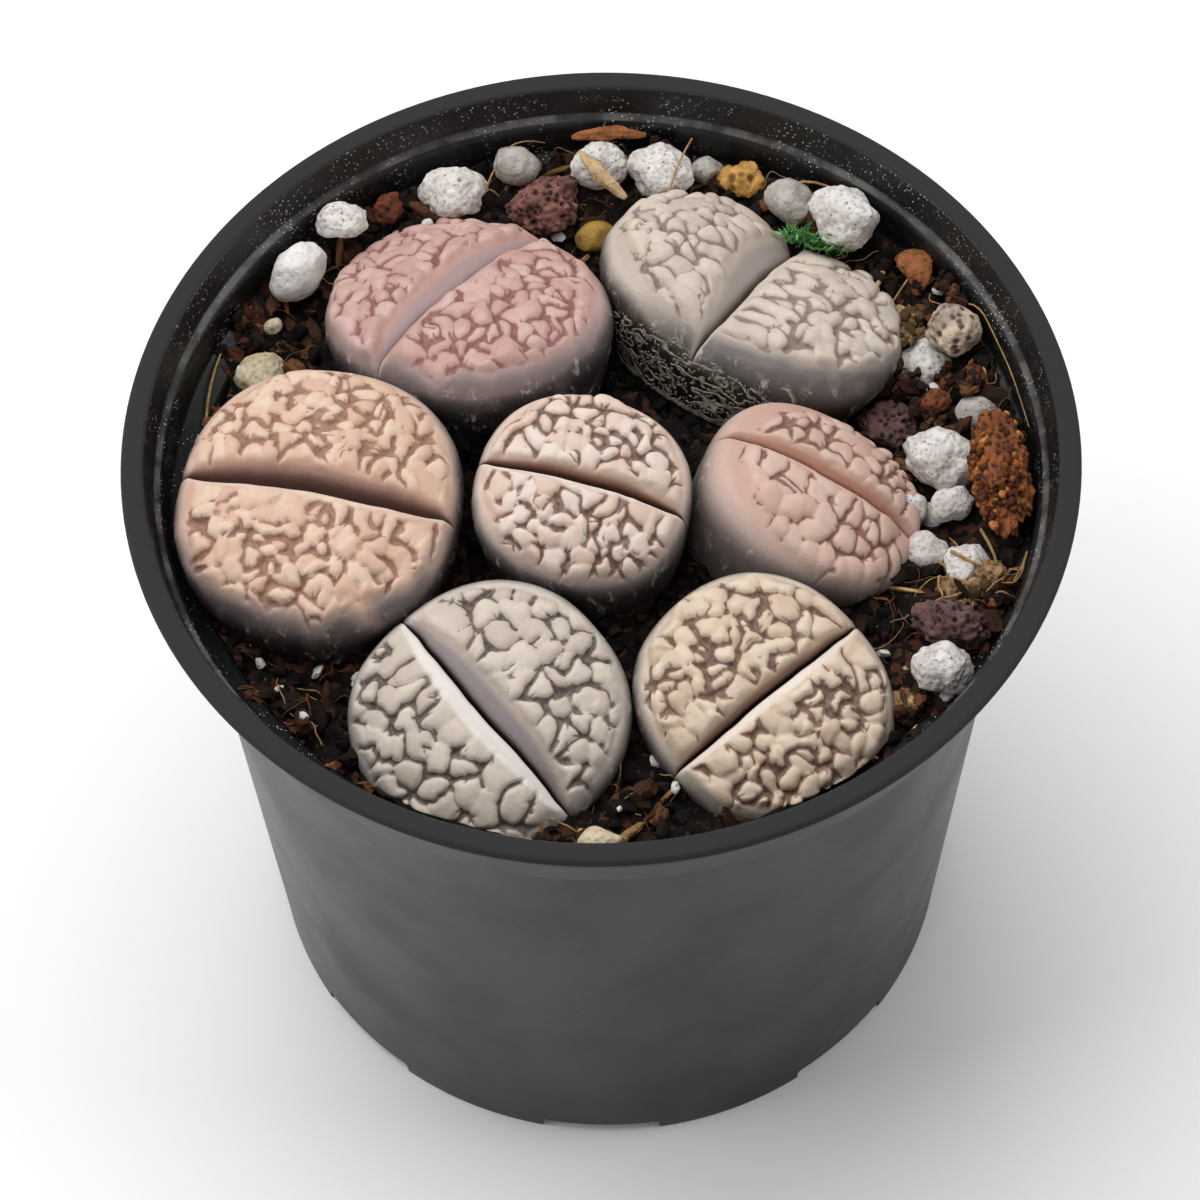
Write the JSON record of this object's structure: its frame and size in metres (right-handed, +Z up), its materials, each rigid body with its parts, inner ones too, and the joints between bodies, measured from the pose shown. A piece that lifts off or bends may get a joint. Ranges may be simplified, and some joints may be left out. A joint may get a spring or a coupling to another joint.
{
  "type": "potted lithops",
  "caption": "Round nursery pot of clustered living stones, split succulent heads with netted faces, set in soil top-dressed with pumice, lava and bark; rests on its foot ring.",
  "frame": {"origin": "centre of the circle that the pot's foot ring stands on", "axes": "+Z up out of the pot's mouth, -Y towards the front that the picture shows, +X to its right"},
  "size_m": [0.1, 0.1, 0.0853],
  "materials": {
    "pot_plastic": "satin dark grey polypropylene, scuffed and dusty",
    "soil": "matt peat and bark soil",
    "dry_leaf": "dry papery skin",
    "skin_rose": "waxy succulent skin, satin",
    "skin_grey": "waxy succulent skin, satin",
    "skin_peach": "waxy succulent skin, satin",
    "skin_cream": "waxy succulent skin, satin",
    "skin_taupe": "waxy succulent skin, satin",
    "skin_sand": "waxy succulent skin, satin",
    "skin_blush": "waxy succulent skin, satin",
    "pumice": "chalky white pumice",
    "gravel": "rough grey and beige grit",
    "lava": "porous lava",
    "bark": "fibrous bark and peat",
    "clay": "granular burnt clay",
    "splinter": "dry wood",
    "pellet": "smooth yellow pellet"
  },
  "bodies": {
    "root": {"nursery_pot": "pot_plastic", "potting_soil": "soil", "lithops_rose": "skin_rose", "lithops_grey": "skin_grey", "lithops_peach": "skin_peach", "lithops_cream": "skin_cream", "lithops_taupe": "skin_taupe", "lithops_sand": "skin_sand", "lithops_blush": "skin_blush", "dry_sheath": "dry_leaf", "pumice_speckled": "pumice", "pumice_smooth": "pumice", "pumice_round": "pumice", "pumice_behind": "pumice", "pumice_stained": "pumice", "pumice_large": "pumice", "pumice_right": "pumice", "pumice_broad": "pumice", "pumice_upright": "pumice", "pumice_edge": "pumice", "pumice_red_speck": "pumice", "pumice_grey": "gravel", "pumice_grey_right": "gravel", "gravel_grey": "gravel", "stone_beige": "gravel", "lump_cream": "gravel", "stone_front": "gravel", "pumice_small_left": "gravel", "lava_red": "lava", "lava_purple": "lava", "lava_long": "lava", "lava_rust": "lava", "crumb_dark": "bark", "bark_root": "bark", "bark_curl": "bark", "lump_tan": "bark", "clay_lump": "clay", "chip_golden": "clay", "wood_splinter": "splinter", "pellet_yellow": "pellet"}
  },
  "joints": []
}
